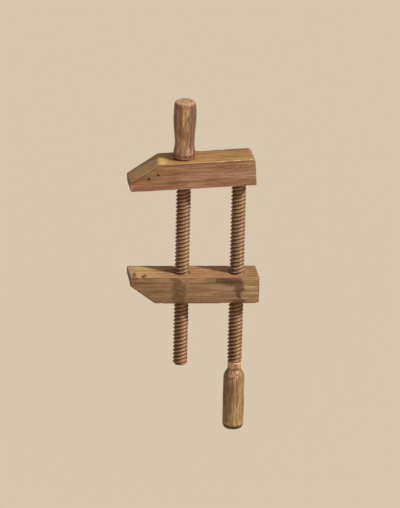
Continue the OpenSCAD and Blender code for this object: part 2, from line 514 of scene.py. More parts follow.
def fine_mesh(name, points, pits):
    """The CAD node's mesh, in the jaw's own frame, as an even grid, finer round each pit."""
    mesh = frame["nodes"][name].data.copy()
    set_points(mesh, points)
    merge_points(mesh)
    rough = new_object(name + "_rough", mesh)
    remesh = rough.modifiers.new("Even", "REMESH")
    remesh.mode = "VOXEL"
    remesh.voxel_size = VOXEL
    bpy.context.view_layer.update()
    made = bpy.data.meshes.new_from_object(rough.evaluated_get(bpy.context.evaluated_depsgraph_get()))
    bpy.data.objects.remove(rough)
    if pits:
        work = bmesh.new()
        work.from_mesh(made)
        near = []
        for edge in work.edges:
            middle = (edge.verts[0].co + edge.verts[1].co) / 2
            if any((middle - Vector(centre)).length < PIT_REACH for centre in pits):
                near.append(edge)
        bmesh.ops.subdivide_edges(work, edges=near, cuts=2, use_grid_fill=True)
        work.to_mesh(made)
        work.free()
    return made


def askew(points, length, half, front):
    """Points moved along a jaw near its two ends, on to ends that aren't quite square."""
    x = points[:, 0]
    to_front = np.clip(0.5 + 0.5 * front * points[:, 1] / half, 0, 1)
    moved = points.copy()
    moved[:, 0] += SKEW * to_front * ramp(SKEW_REACH - x, 0, SKEW_REACH)
    moved[:, 0] -= SKEW * (1 - to_front) * ramp(x - length + SKEW_REACH, 0, SKEW_REACH)
    return moved


def carve_jaw(name, mount, front, dents, pits, seed):
    """A jaw with worn edges, and what its colours need to know about each of its points."""
    axes, origin = jaw_frame(mount)
    cad = (node_points(name) - origin) @ axes.T
    tip = cad[:, 0].min()
    cad[:, 0] -= tip
    faces, holes = jaw_faces(cad, front), jaw_holes(cad)
    mesh = fine_mesh(name, cad, [centre for centre, _, _ in pits])
    points = smoothed(get_points(mesh), mesh)
    points = askew(points, cad[:, 0].max(), cad[:, 1].max(), front)

    # The outer surface is drawn onto a block with worn edges, and the holes keep their walls
    shell, rim = np.ones(len(points)), np.full(len(points), FAR)
    for centre, radius, depth in holes:
        away = np.hypot(points[:, 0] - centre, points[:, 1]) - radius
        within = points[:, 2] < depth + 1
        shell = np.where(within, np.minimum(shell, ramp(away, -0.4, 0.6)), shell)
        rim = np.where(within, np.minimum(rim, np.abs(away)), rim)
    wear = EDGE_RADIUS + 0.16 * noise(points, (22, 14, 14), seed) + 0.06 * noise(points, (5, 4, 4), seed + 1)
    for _ in range(WEAR_ROUNDS):
        value, share, edge, _ = rounded_block(points, faces, wear)
        chips = ramp(noise(points, (7, 5, 5), seed + 2), 0.42, 0.8) * hump(edge, 0, CHIP_REACH)
        waves = WAVE_DEPTHS[0] * (1 + noise(points, (45, 16, 16), seed + 3))
        waves += WAVE_DEPTHS[1] * (1 + noise(points, (12, 7, 7), seed + 4))
        value = value + CHIP_DEPTH * chips + waves
        for centre, size, depth in dents:
            value = value + depth * spot(points, centre, size)
        direction = share @ faces[0]
        direction /= (direction ** 2).sum(axis=1)[:, None]
        points = points - direction * (value * shell)[:, None]
    for centre, radius, depth in pits:
        away = np.hypot(points[:, 0] - centre[0], points[:, 2] - centre[2])
        on_front = np.abs(points[:, 1] - centre[1]) < 2
        sunk = on_front * depth * (1 - ramp(away, radius * 0.5, radius * 1.15))
        points[:, 1] -= np.sign(centre[1]) * sunk
    value, share, edge, below = rounded_block(points, faces, wear)
    inside = value < -1.2
    facts = {
        "place": points, "edge": np.where(inside, FAR, np.minimum(edge, rim)), "rim": rim,
        "inside": ramp(-value, 0.6, 2.0), "below": dict(zip(FACES, below.T)), **dict(zip(FACES, share.T)),
    }
    back = (points + np.array([tip, 0, 0])) @ axes + origin
    return mesh, back, facts


def edge_line(facts, face, other, high, low=-1.0):
    """1 on one face of a jaw within a strip beside its edge with another face, and 0 elsewhere."""
    away = facts["below"][other]
    return facts[face] * ramp(away, low - 0.5, low + 0.1) * ramp(away, high + 0.5, high - 0.2)


def edge_dirt(facts, strips):
    """Dirt in strips beside edges, each given as two faces, an amount and its reach."""
    return sum(amount * edge_line(facts, face, other, *reach) for face, other, amount, *reach in strips)


def dabs(place, seed):
    """Short reddish strokes along the grain, where the wood's own colour comes up."""
    return ramp(noise(place, (9, 5, 1.8), seed), 0.25, 0.65)


# The upper jaw's nail holes as centre, radius and depth, and its dents as centre, size and depth
NAIL_HOLES = (((25.7, -19.0, 16.4), 1.5, 2.2), ((37.8, -19.0, 21.2), 1.35, 2.0))
UPPER_DENTS = (
    ((62.0, -19.0, 3.0), (9, 4, 4), 0.35), ((118.0, -17.0, 35.0), (14, 4, 3), 0.3),
    ((9.0, -16.0, 0.0), (9, 6, 4), 0.25), ((96.0, 3.0, 35.0), (11, 7, 3), 0.2),
    ((141.0, -19.0, 20.0), (8, 3, 5), 0.25),
)
UPPER_DIRT = (
    ("low_y", "slope", 0.75, 2.1, 1.0), ("outer", "high_y", 0.65, 2.2), ("low_y", "outer", 0.5, 2.1, 1.0),
    ("low_y", "tail", 0.5, 0.8), ("high_y", "slope", 0.4, 1.5), ("slope", "high_y", 0.6, 1.6),
)
# Colour of both noses' ends: painted shade, on ends that face away from the key lamp
NOSE_END_SHADE = "544A2C"


def upper_jaw():
    mesh, points, facts = carve_jaw("upper_jaw", "upper_jaw_grip", -1, UPPER_DENTS, NAIL_HOLES, 3)
    outer, slope, bevel, front = (facts[face] for face in ("outer", "slope", "bevel", "low_y"))
    place = facts["place"]
    x, y, z = place.T
    cloud = noise(place, (26, 9, 9), 41)
    holes = front * sum(
        1 - ramp(np.hypot(x - centre[0], z - centre[2]), 0.75 * radius, 1.2 * radius)
        for centre, radius, _ in NAIL_HOLES
    )
    broken = ramp(noise(place, (7, 9, 9), 45), -0.4, 0.3)
    top_highlight = edge_line(facts, "low_y", "outer", 0.7) + edge_line(facts, "outer", "low_y", 1.0)
    tint = coloured("A88062", [
        ("B88C56", outer + bevel),
        ("CCA46A", outer * ramp(-y + 1.5 * cloud, 7, 13) * 0.5),
        ("CAA26C", slope * 0.9),
        ("C08A58", slope * ramp(x + 6 * cloud, 22, 4) * 0.7),
        ("989064", slope * ramp(y + 5 * cloud, 4, 16) * 0.6),
        # Painted shade on the nose's end
        (NOSE_END_SHADE, facts["tip"] * 0.95),
        ("A37C52", facts["tail"] * 0.8),
        # A pale patch behind the slope, and redder wood at the back of the tail
        ("EACB7E", outer * spot(place, (40, -6, 35), (14, 24, 12))),
        ("A86C48", outer * ramp(y + 0.16 * (x - 120) + 4 * cloud, 8, 20) * 0.75),
        # The tail's bevel, with pale edges, and dark lines round the outer face
        ("8E6244", bevel * 0.85),
        ("E2B896", edge_line(facts, "bevel", "outer", 0.9) * 0.8),
        ("D8AC8A", edge_line(facts, "bevel", "tail", 0.8) * 0.6),
        ("7A4630", edge_line(facts, "outer", "bevel", 1.1, -0.2) * 0.7),
        ("7A4630", edge_line(facts, "outer", "high_y", 2.8) * 0.7),
        # The front, redder below the nose and darker beside the slope
        ("94683F", front * ramp(x, 85, 50) * 0.7),
        ("A0645A", front * ramp(z + 0.10 * x, 14, 3) * ramp(x, 90, 30) * 0.8),
        ("917655", front * ramp(cloud, 0.1, 0.6) * 0.5),
        ("A86C50", front * dabs(place, 87) * 0.4),
        ("AA895F", front * ramp(x, 118, 152) * 0.8),
        ("B08672", front * ramp(cloud - 0.2 * noise(place, (9, 5, 5), 47), 0.0, -0.6) * 0.35),
        ("74503A", front * ramp(facts["below"]["slope"], 7, 1.5) * ramp(x, 34, 8) * 0.7),
        # Pale lines where the front is rubbed, beside the nose's end and below, and a painted highlight
        # along its top
        ("DCAC92", edge_line(facts, "low_y", "tip", 1.5) * 0.7),
        ("D6B494", broken * edge_line(facts, "low_y", "grip", 1.0) * 0.8),
        ("F2DCB4", broken * top_highlight * ramp(x, 108, 116) * ramp(x, 156, 150)),
        ("6E2E20", 1.3 * holes),
    ])
    # Darker in the nail holes, on the walls of the screw holes and round their mouths
    dirt_and_shade = 0.2 * holes + 0.55 * facts["inside"] + 0.35 * (1 - ramp(facts["rim"], 0.3, 2.4))
    uneven = 0.6 + 0.4 * noise(place, (9, 4, 4), 43)
    dirt_and_shade += uneven * edge_dirt(facts, UPPER_DIRT)
    dirt_and_shade += 0.35 * uneven * edge_line(facts, "low_y", "grip", 2.0, 1.2) * ramp(x, 60, 90)
    edge = np.where(facts["tip"] > 0.45, FAR, facts["edge"] * (1 + 1.4 * bevel))
    finish_piece("upper_jaw", "upper_jaw", mesh, points, UPPER_LOOK, place, tint, edge, dirt_and_shade)


# The lower jaw's dents. Its Y runs towards the front, because its own frame is turned over
LOWER_DENTS = (
    ((4.0, 18.0, 0.0), (5, 8, 3), 0.8), ((17.0, 18.5, 0.0), (6, 7, 3), 0.7),
    ((90.0, 19.0, 2.0), (10, 3, 4), 0.3), ((120.0, 19.0, 33.0), (9, 4, 4), 0.4),
    ((40.0, -10.0, 0.0), (12, 8, 3), 0.2),
)
LOWER_DIRT = (
    ("high_y", "grip", 0.9, 1.1), ("high_y", "slope", 0.9, 1.1), ("high_y", "outer", 0.9, 1.2),
    ("high_y", "tail", 0.9, 1.1), ("grip", "low_y", 0.75, 2.4), ("grip", "tail", 0.6, 1.1),
)
# Two dark smudges near its tip, as centre and size
SMUDGES = (((6.5, 9.5, 0), (3.6, 9.5, 4)), ((20.5, 15.0, 0), (4.0, 8.5, 4)))
# Its front's Y, and the places of the stains' blots there: along, down from its top, and their size
FRONT_Y = 19.0
GREEN_STAIN = (
    (58, 2, 7), (61, 8, 8), (59, 14, 7), (63, 19, 9), (66, 23, 8), (60, 26, 9), (64, 32, 8), (69, 12, 5),
)
PURPLE_STAIN = (
    (112, 3, 5), (117, 4, 6), (123, 4, 7), (129, 4, 8), (135, 5, 8), (138, 9, 7), (139, 14, 7),
    (136, 18, 7), (137, 22, 6), (138, 26, 4), (134, 33, 6), (140, 33, 6),
)


def stain(place, blots, seed):
    """How strongly each point is stained by a row of blots, with ragged outlines."""
    ragged = place.copy()
    ragged[:, 0] += 2.6 * noise(place, (7, 7, 4), seed) + 1.1 * noise(place, (3, 3, 1.5), seed + 1)
    ragged[:, 2] += 1.6 * noise(place, (8, 5, 5), seed + 2)
    strength = np.zeros(len(place))
    for along, down, size in blots:
        strength = np.maximum(strength, spot(ragged, (along, FRONT_Y, down), (size, 9, size)))
    return strength * (0.84 + 0.16 * noise(place, (6, 6, 2), seed + 3))


def lower_jaw():
    mesh, points, facts = carve_jaw("lower_jaw", "lower_jaw_grip", 1, LOWER_DENTS, (), 17)
    grip, front = facts["grip"], facts["high_y"]
    place = facts["place"]
    x, y, _ = place.T
    wobble = 2.5 * noise(place, (9, 9, 9), 77)
    smudge = place + 1.6 * noise(place, (4, 4, 4), 71)[:, None] + 0.8 * noise(place, (2, 2, 2), 72)[:, None]
    smudge[:, 0] += 0.35 * (smudge[:, 1] - 14)
    tint = coloured("9D7D5E", [
        ("BA8B5E", grip),
        ("CAA476", grip * ramp(x - 0.5 * y, 62, 12) * 0.85),
        ("D0B46E", grip * spot(place + wobble[:, None], (24, -12, 0), (19, 12, 9)) * 0.9),
        ("CC9C84", grip * ramp(8.5 + wobble - x, 0, 3) * 0.75),
        ("A07850", grip * ramp(x, 132, 152) * 0.8),
        # Painted shadow of the middle screw, beside its hole
        ("6E4A42", grip * spot(place, (53, -3, 0), (15, 9, 5)) * 0.6),
        # Painted shade on the nose's end
        (NOSE_END_SHADE, facts["tip"] * 0.95),
        ("A2845C", facts["tail"] * 0.7),
        ("9A7C50", facts["slope"] * 0.5),
        *(("6A4422", grip * spot(smudge, *at) * 0.9) for at in SMUDGES),
        ("8E5A34", grip * spot(smudge, (13, 19, 0), (10, 3.5, 3)) * 0.7),
        ("7D6745", front * ramp(x + wobble, 52, 14) * 0.6),
        ("A46C48", front * dabs(place, 83) * 0.4),
        ("B2976A", front * ramp(x, 130, 154) * 0.8),
        # Two old stains on the front: a green-grey one, and a purple-brown one shaped like a hook
        ("665638", front * stain(place, GREEN_STAIN, 51) * 0.9),
        ("624636", front * stain(place, PURPLE_STAIN, 57)),
        ("8A5230", edge_line(facts, "high_y", "grip", 2.6) * ramp(x, 34, 12) * 0.8),
        # Reddish wood round the end screw's hole, lightened as painted light in its shaded mouth
        ("C68C72", grip * ramp(facts["rim"], 5.0, 1.0) * ramp(x, 80, 110) * 0.8),
    ])
    # Darker on the walls of the screw holes and round their mouths
    dirt_and_shade = 0.2 * facts["inside"] + 0.1 * (1 - ramp(facts["rim"], 0.2, 1.8))
    dirt_and_shade += (0.65 + 0.35 * noise(place, (9, 4, 4), 47)) * edge_dirt(facts, LOWER_DIRT)
    # Only the nose's and the tail's edges are rubbed pale
    rubbed = (x < 3.5) & (facts["tip"] < 0.45) | (facts["tail"] > 0.5)
    edge = np.where(rubbed, facts["edge"], FAR)
    wood = place * np.array([1, -1, -1])
    finish_piece("lower_jaw", "lower_jaw", mesh, points, LOWER_LOOK, wood, tint, edge, dirt_and_shade)


# Screws

THREAD_STARTS = 2
COLUMNS = 96
ROWS = 12
CAP_SHARES = (1.0, 0.8, 0.45, 0.15, 0.0)
# Where a groove and its painted shade lie between two crests, going up: the upper sides are a little longer
GROOVE_AT = 0.57
GROOVE_SHADE_AT = 0.60
# Heights this near to an end of the threaded part are moved on to it
SNAP = 0.05
# The middle of a screw, clear of its ends by this much, gives its thread's radii
CLEAR = 12
# Bevel of the turned-down ends, hollow of the free end's flat, and the tenon's chamfer
END_BEVEL = 2.6
END_HOLLOW = 0.2
CHAMFER_IN = 0.8
CHAMFER_ALONG = 1.0


def thread_shape(phase):
    """Height of the thread, from 0 in a groove to 1 on a crest. Crests lie at whole phases."""
    part = phase % 1
    t = np.where(part < GROOVE_AT, 1 - part / GROOVE_AT, (part - GROOVE_AT) / (1 - GROOVE_AT))
    height = 0.75 * t + 0.25 * t ** 2
    return height - 0.03 * ramp(t, 0.9, 1.0)


def lead_of(joint):
    """How far a screw moves along its axis in one turn, in millimetres."""
    coupling = named(frame["record"]["behaviour"]["couplings"], joint, "joint")
    return 2 * math.pi / coupling["ratio"] / MM


def rings_mesh(rings):
    """Quads between rings of points, each ring going round the axis."""
    columns = len(rings[0])
    here = np.arange(columns)
    ahead = (here + 1) % columns
    band = np.stack([here, ahead, ahead + columns, here + columns], axis=1)
    return np.vstack(rings), np.vstack([band + i * columns for i in range(len(rings) - 1)])


def placed(axis, turn, r, z):
    """Points round an upright axis: at angles, distances from it and heights."""
    x, y = axis[0] + r * np.cos(turn), axis[1] + r * np.sin(turn)
    return np.stack(np.broadcast_arrays(x, y, z), axis=-1).reshape(-1, 3)


def helix_grid(low, high, lead):
    """Heights, thread heights and quads of a grid that follows the helix.

    Each column starts a step higher than the one before, and the last meets the first a turn up.
    """
    step = lead / THREAD_STARTS / ROWS
    turn_rows = ROWS * THREAD_STARTS
    q = np.arange(math.floor(low / step) - turn_rows, math.ceil(high / step) + 1)
    z = q * step + lead * np.arange(COLUMNS)[:, None] / COLUMNS
    z = np.where(z < low + SNAP, low, np.where(z > high - SNAP, high, z))
    height = thread_shape(np.broadcast_to(q / ROWS, z.shape))
    index = np.arange(z.size).reshape(z.shape)
    ahead = np.vstack([index[1:], np.minimum(index[:1] + turn_rows, len(q) - 1)])
    quads = np.stack([index[:, :-1], ahead[:, :-1], ahead[:, 1:], index[:, 1:]], axis=-1)
    return z, height, quads.reshape(-1, 4)


def end_limit(away, end_radius):
    """The largest radius at a distance from an end, which is turned down to a rounded bevel."""
    t = np.clip(away / END_BEVEL, 0, 1)
    return end_radius + END_BEVEL * np.sqrt(1 - (1 - t) ** 2) + np.maximum(away - END_BEVEL, 0)


def screw(name, handle, joint, free_up, base, seed, wood_shift):
    """A wooden screw: a threaded part with a bevelled free end, and a tenon at its handle.

    free_up says that its free end is the upper one, and wood_shift moves its growth rings.
    """
    x, y, z = node_points(name).T
    axis = np.array(named(frame["joints"], joint)["pos_m"][:2]) / MM
    radius = np.hypot(x - axis[0], y - axis[1])
    handle_low, handle_high = (c[2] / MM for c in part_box(handle))
    z_handle = handle_high if free_up else handle_low
    z_free, z_tenon = (z.max(), z.min()) if free_up else (z.min(), z.max())
    z0, z1 = sorted((z_handle, z_free))
    on_thread = (z > z0 + CLEAR) & (z < z1 - CLEAR)
    crest, root = radius[on_thread].max(), radius[on_thread].min()
    tip_radius, tenon_radius = (radius[np.abs(z - end) < LEVEL].max() for end in (z_free, z_tenon))
    lead = lead_of(joint)
    spacing = lead / THREAD_STARTS

    # The thread, with worn and chipped crests
    turn = 2 * math.pi * np.arange(COLUMNS)[:, None] / COLUMNS
    grid_z, height, quads = helix_grid(z0, z1, lead)
    probe = placed(axis, turn, crest, grid_z)
    worn = 0.06 * (1 + noise(probe, (4, 4, 3), seed)) + 0.06 * (1 + noise(probe, (14, 14, 11), seed + 1))
    chip = ramp(noise(probe, (3.5, 3.5, 2.5), seed + 2), 0.55, 0.85)
    worn = (worn + 0.7 * chip).reshape(grid_z.shape)
    r = root + (crest - root) * height - worn * ramp(height, 0.55, 1.0)
    low_radius, high_radius = (root, tip_radius) if free_up else (tip_radius, root)
    r = np.minimum(r, end_limit(grid_z - z0, low_radius))
    r = np.minimum(r, end_limit(z1 - grid_z, high_radius))
    points = placed(axis, turn, r, grid_z)

    # The free end's flat, and the shoulder and tenon at the handle
    out = 1 if free_up else -1
    cap = [(tip_radius * share, z_free - out * END_HOLLOW * (1 - share)) for share in CAP_SHARES]
    tenon = [
        (root, z_handle), (tenon_radius, z_handle), (tenon_radius, z_tenon + out * CHAMFER_ALONG),
        (tenon_radius - CHAMFER_IN, z_tenon), (0.0, z_tenon),
    ]
    for rings in (cap, tenon):
        more, more_quads = rings_mesh([placed(axis, turn, *ring) for ring in rings])
        quads = np.vstack([quads, more_quads + len(points)])
        points = np.vstack([points, more])
    mesh = joined_mesh(name + "_wood", points, quads)

    points = get_points(mesh)
    away_x, away_y, along = points[:, 0] - axis[0], points[:, 1] - axis[1], points[:, 2]
    phase = (along - lead * np.arctan2(away_y, away_x) / (2 * math.pi)) / spacing
    depth = np.clip((crest - np.hypot(away_x, away_y)) / (crest - root), 0, 1)
    # Distance, in thread spacings, from the line of painted shade in each groove
    beside_groove = np.abs(phase % 1 - GROOVE_SHADE_AT)
    wood = np.stack([along, away_x + wood_shift, away_y], axis=1)
    cloud = noise(wood, (30, 9, 9), seed + 5)
    low = ramp(-along, 30, 60)
    to_right = ramp(away_x, -1.0, 6.5)
    on_flat = ramp(2.2 - np.abs(along - z_free), 0.0, 1.6)
    tint = coloured(base, [
        ("946D5D", ramp(cloud, 0.0, 0.6) * 0.6),
        ("A08158", ramp(-cloud, 0.1, 0.7) * 0.6),
        # The part far below the lower jaw is redder, with painted shade on its left side
        ("80523F", low * 0.4),
        ("6E3E30", low * ramp(-away_x, -2.0, 3.0) * 0.5),
        # A painted highlight to the right of the middle, and painted shade on the left side
        ("B8905E", ramp(3.4 - np.abs(away_x - 3.6), 0.0, 3.0) * (0.25 + 0.2 * low)),
        ("5E3C2A", ramp(2 * cloud - away_x, 0.5, 5.0) * 0.45),
        # Painted shade in the grooves, wider to the right, and a darker right side
        ("6E4830", ramp(0.24 + 0.06 * to_right - beside_groove, 0.0, 0.14) * 0.6),
        ("6A4E38", ramp(away_x, 6.2, 9.2) * 0.7),
        # Red wood on the middle screw under the upper jaw, and the flat of the free end
        ("8A4A44", ramp(along, 84, 98) * (1 - free_up) * 0.45),
        ("6A4A30", on_flat * 0.6),
    ])
    # Painted shade in the grooves, on the lower flank of each crest and wider to the right
    dirt_and_shade = 0.96 * ramp(0.185 + 0.05 * to_right - beside_groove, 0.0, 0.12) * ramp(depth, 0.2, 0.5)
    dirt_and_shade = np.where(np.abs(along - z_free) < 2.5, dirt_and_shade * 0.5 + 0.45 * on_flat, dirt_and_shade)
    edge = np.where(depth < 0.5, (1 - thread_shape(phase)) * spacing / 2, FAR)
    finish_piece(name, name, mesh, points, SCREW_LOOK, wood, tint, edge, dirt_and_shade)


# Handles

TURNED_COLUMNS = 128
TURNED_STEP = 0.5
BORE_LIMIT = 7.0
# How far the grain on a handle follows its form, and the middle of the rings that its ends show
GRAIN_RADIUS = 12.0
GRAIN_FOLLOW = 0.75
PITH = (-17.0, -24.0)
# Length of grain to a radian round that middle, and a shift that sets the ends' grain apart
PITH_TURN = 25
END_SHIFT = 40
# Points this near to an end belong to it
END_REACH = 0.3


def outline_of(name, axis_x):
    """A turned handle's outline as radius and height, from its bore's end round to its far end."""
    cad = node_points(name)
    r = np.round(np.hypot(cad[:, 0] - axis_x, cad[:, 1]), 3)
    z = np.round(cad[:, 2], 3)
    skin = {}
    for radius, height in zip(r, z):
        if radius > BORE_LIMIT:
            skin[height] = max(radius, skin.get(height, 0))
    heights = sorted(skin)
    bore = (r > 1) & (r < BORE_LIMIT)
    bore_radius = r[bore].max()
    at_top = np.abs(z[bore] - heights[-1]).min() < LEVEL
    if at_top:
        heights.reverse()
    mouth = heights[0]
    bore_end = z[bore][np.argmax(np.abs(z[bore] - mouth))]
    outline = [(0.0, bore_end), (bore_radius, bore_end), (bore_radius, mouth)]
    outline += [(skin[h], h) for h in heights]
    outline.append((0.0, heights[-1]))
    return np.array(outline)


def evenly(outline):
    """The outline with points at even steps along it, its corners slightly rounded."""
    length = np.concatenate([[0], np.cumsum(np.linalg.norm(np.diff(outline, axis=0), axis=1))])
    at = np.linspace(0, length[-1], int(length[-1] / TURNED_STEP) + 1)
    fine = np.stack([np.interp(at, length, outline[:, i]) for i in (0, 1)], axis=1)
    for _ in range(2):
        fine[1:-1] = (fine[:-2] + 2 * fine[1:-1] + fine[2:]) / 4
    return fine


def rounded_end(outline, flat, drop):
    """The outline with its far end rounded over, within a drop from its end, down to a flat disc."""
    mouth, far = outline[2, 1], outline[-1, 1]
    away = np.abs(outline[:, 1] - far)
    kept = outline[(away > drop + 0.5) | (outline[:, 0] < BORE_LIMIT)][:-1]
    wide = np.interp(np.abs(far - mouth) - drop, np.abs(outline[2:-1, 1] - mouth), outline[2:-1, 0])
    turn = np.linspace(0, math.pi / 2, 13)
    inward = np.sign(mouth - far)
    arc_r = flat + (wide - flat) * np.cos(turn)
    arc_z = far + inward * drop * (1 - np.sin(turn))
    return np.vstack([kept, np.stack([arc_r, arc_z], axis=1), [(0.0, far)]])


def handle(name, axis_x, seed, cuts, lumps, end_flat, end_drop):
    """A turned handle, with what its colours need to know about each of its points.

    cuts are scribed lines, as distance from its mouth, width and depth. lumps are low places, as
    centre, size and depth. end_flat and end_drop are the far end's flat and the drop round it.
    """
    outline = outline_of(name, axis_x)
    mouth = outline[2, 1]
    outline = evenly(rounded_end(outline, end_flat, end_drop))
    length = np.abs(outline[-1, 1] - mouth)
    turn = 2 * math.pi * np.arange(TURNED_COLUMNS) / TURNED_COLUMNS
    outside = outline[:, 0] > BORE_LIMIT
    r = outline[:, 0].copy()
    for at, width, depth in cuts:
        r -= outside * depth * hump(np.abs(outline[:, 1] - mouth), at, width)
    points, quads = rings_mesh([placed((axis_x, 0), turn, *ring) for ring in zip(r, outline[:, 1])])
    mesh = joined_mesh(name + "_wood", points, quads)

    # Turned wood is a little out of round
    points = get_points(mesh)
    away = points[:, :2] - np.array([axis_x, 0])
    across = away[:, 0]
    r = np.linalg.norm(away, axis=1)
    along = np.abs(points[:, 2] - mouth)
    ends = ramp(along, 0.0, 5.0) * ramp(length - along, -0.1, 4.0)
    skin = ramp(r, BORE_LIMIT - 0.5, BORE_LIMIT + 0.5)
    sunk = 0.09 * (1 + noise(points, (11, 11, 24), seed)) + 0.05 * (1 + noise(points, (5, 5, 9), seed + 1))
    for centre, size, depth in lumps:
        sunk = sunk + depth * spot(points, centre, size)
    points[:, :2] -= away * (sunk * ends * skin / np.maximum(r, 1))[:, None]

    # Its grain follows its form, and shows as arcs on its ends
    follow = 1 + GRAIN_FOLLOW * (GRAIN_RADIUS / np.maximum(r, 3) - 1)
    wood = np.column_stack([along, away * follow[:, None]])
    at_mouth = (along < END_REACH) & (r > BORE_LIMIT - 0.5)
    to_pith = away - np.array(PITH)
    arcs = np.stack([
        PITH_TURN * np.arctan2(to_pith[:, 1], to_pith[:, 0]), np.linalg.norm(to_pith, axis=1),
        np.full(len(r), END_SHIFT),
    ], axis=1)
    wood = np.where((at_mouth | (along > length - END_REACH))[:, None], arcs, wood)
    return mesh, points, wood, across, along, r, length


def middle_handle():
    cuts = [(3.0, 0.5, 0.3)]
    lumps = [
        ((14, -3, 195), (9, 12, 16), 0.25), ((-13, -6, 172), (9, 11, 15), 0.2),
        ((6, -13, 205), (10, 9, 14), 0.2),
    ]
    mesh, points, wood, across, along, r, length = handle(
        "middle_handle", 0.0, 61, cuts, lumps, end_flat=9.6, end_drop=4.6
    )
    deep = points[:, 1]
    here = np.stack([across, deep, along], axis=1)
    cloud = noise(wood, (34, 6, 6), 91)
    strokes = ramp(noise(here, (1.7, 6, 9), 97), -0.15, 0.45)
    end_face = ramp(along, length - 2.4, length - 0.8)
    behind_rim = ramp(along, length - 5, length - 3) * ramp(r, 10.2, 11.2) * ramp(deep, 0, 5)
    # A ragged row of spots round its foot
    around = here * np.array([3, 3, 0.2])
    row = hump(along - 1.1 * noise(around, (5, 5, 5), 9), 4.6, 1.5)
    row *= ramp(noise(around, (4, 4, 8), 5), -0.35, 0.35)
    kept = ramp(length - along, 20, 24)
    tint = coloured("D6B28A", [
        ("BE946C", ramp(cloud, 0.05, 0.5) * 0.6),
        ("B09468", ramp(-cloud, 0.1, 0.6) * 0.5),
        # A duller middle, with painted shade on the right side and reddish painted shade on the left side
        ("AC9068", ramp(3.2 - np.abs(across - 1.0), 0, 3.0) * 0.7),
        ("775C46", ramp(across, 0.5, 7.5) * 0.9),
        ("BA8A74", ramp(-across + 3 * cloud, 2, 8) * 0.8),
        # Dark strokes along it, and a redder foot with a light spot
        ("6C4C30", spot(here, (2.6, -12, length - 21), (5, 9, 15)) * strokes * 0.8),
        ("7E6040", spot(here, (3.5, -12, length - 46), (5, 9, 17)) * strokes * 0.5),
        ("B28A78", ramp(along, 26, 10) * ramp(4 - deep, 0, 8) * 0.6),
        ("D6B49A", spot(here, (5.5, -12, 10), (5, 8, 7)) * 0.6),
        ("C08A5C", ramp(along, 3.4, 2.4) * 0.8),
        ("C39A6E", ramp(along, length - 9, length - 2) * 0.3),
        ("D2AC80", end_face * 0.85),
        # The end's rim has a painted highlight in front, and painted shade just below it and behind it
        ("8A5A42", ramp(along, length - 8, length - 4) * ramp(r, 11.1, 11.9) * 0.5),
        ("54402C", behind_rim * 0.8),
        ("EAC6A0", end_face * hump(r, 10.5, 0.55) * ramp(-deep, -3, 3) * 0.8),
        ("6A3826", row * kept * 0.85),
        # Painted shade along the left edge
        ("62503A", ramp(-across, 9.5, 12.5) * (1 - end_face) * 0.8),
    ])
    # Painted shadow at the foot where it stands on the jaw; the bore and the scribed line are darker too
    dirt_and_shade = 0.25 * row + 0.45 * ramp(along, 1.4, 0.2) + 0.5 * ramp(BORE_LIMIT - r, 0, 1)
    dirt_and_shade = kept * (dirt_and_shade + 0.3 * hump(along, 3.0, 0.6))
    edge = np.where(along > length - 1.6, np.abs(r - 10.2), FAR)
    finish_piece(
        "middle_handle", "middle_screw", mesh, points, HANDLE_LOOK, wood, tint, edge, dirt_and_shade
    )


# Brown strokes at the foot of the end handle's neck, and flecks below them: across the handle, down
# from its mouth, half their width and half their height
HANDLE_MARKS = (
    (-6.3, 9.3, 1.0, 1.9), (-1.4, 9.6, 1.1, 2.0), (0.9, 9.0, 0.8, 2.2), (3.6, 8.8, 1.0, 2.0),
    (-5.8, 19.0, 1.5, 1.0), (-3.6, 20.0, 1.2, 1.6), (-1.2, 18.4, 1.5, 1.0), (3.6, 15.2, 1.2, 0.9),
)
# How far from its mouth its two scribed lines lie
NECK_LINE = 10.4
LOW_LINE = 84.6


